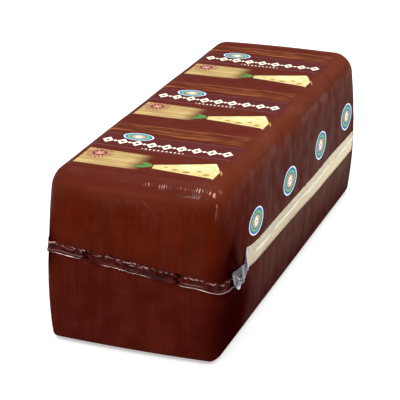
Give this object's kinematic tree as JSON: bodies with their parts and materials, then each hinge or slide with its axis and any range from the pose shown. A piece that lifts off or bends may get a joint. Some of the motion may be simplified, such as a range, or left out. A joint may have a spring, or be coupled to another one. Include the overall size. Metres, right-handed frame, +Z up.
{
  "type": "vacuum-packed tilsit cheese loaf",
  "caption": "Long brick-shaped cheese loaf shrunk into dark brown printed film, with a clear lengthwise stripe on one side and folded heat seals across both ends.",
  "frame": {"origin": "on the surface that the loaf stands on, under its middle", "axes": "+Z up, Y along the loaf with the end that the picture shows at -Y, +X towards the side with the clear stripe"},
  "size_m": [0.1157, 0.2965, 0.102],
  "materials": {
    "printed_film": "glossy",
    "clear_film": "glossy",
    "cheese": "satin"
  },
  "bodies": {
    "root": {"printed_film": "printed_film", "front_seal": "printed_film", "back_seal": "printed_film", "front_brown_ear": "printed_film", "back_brown_ear": "printed_film", "front_clear_ear": "clear_film", "back_clear_ear": "clear_film", "clear_stripe": "clear_film", "cheese": "cheese"}
  },
  "joints": []
}
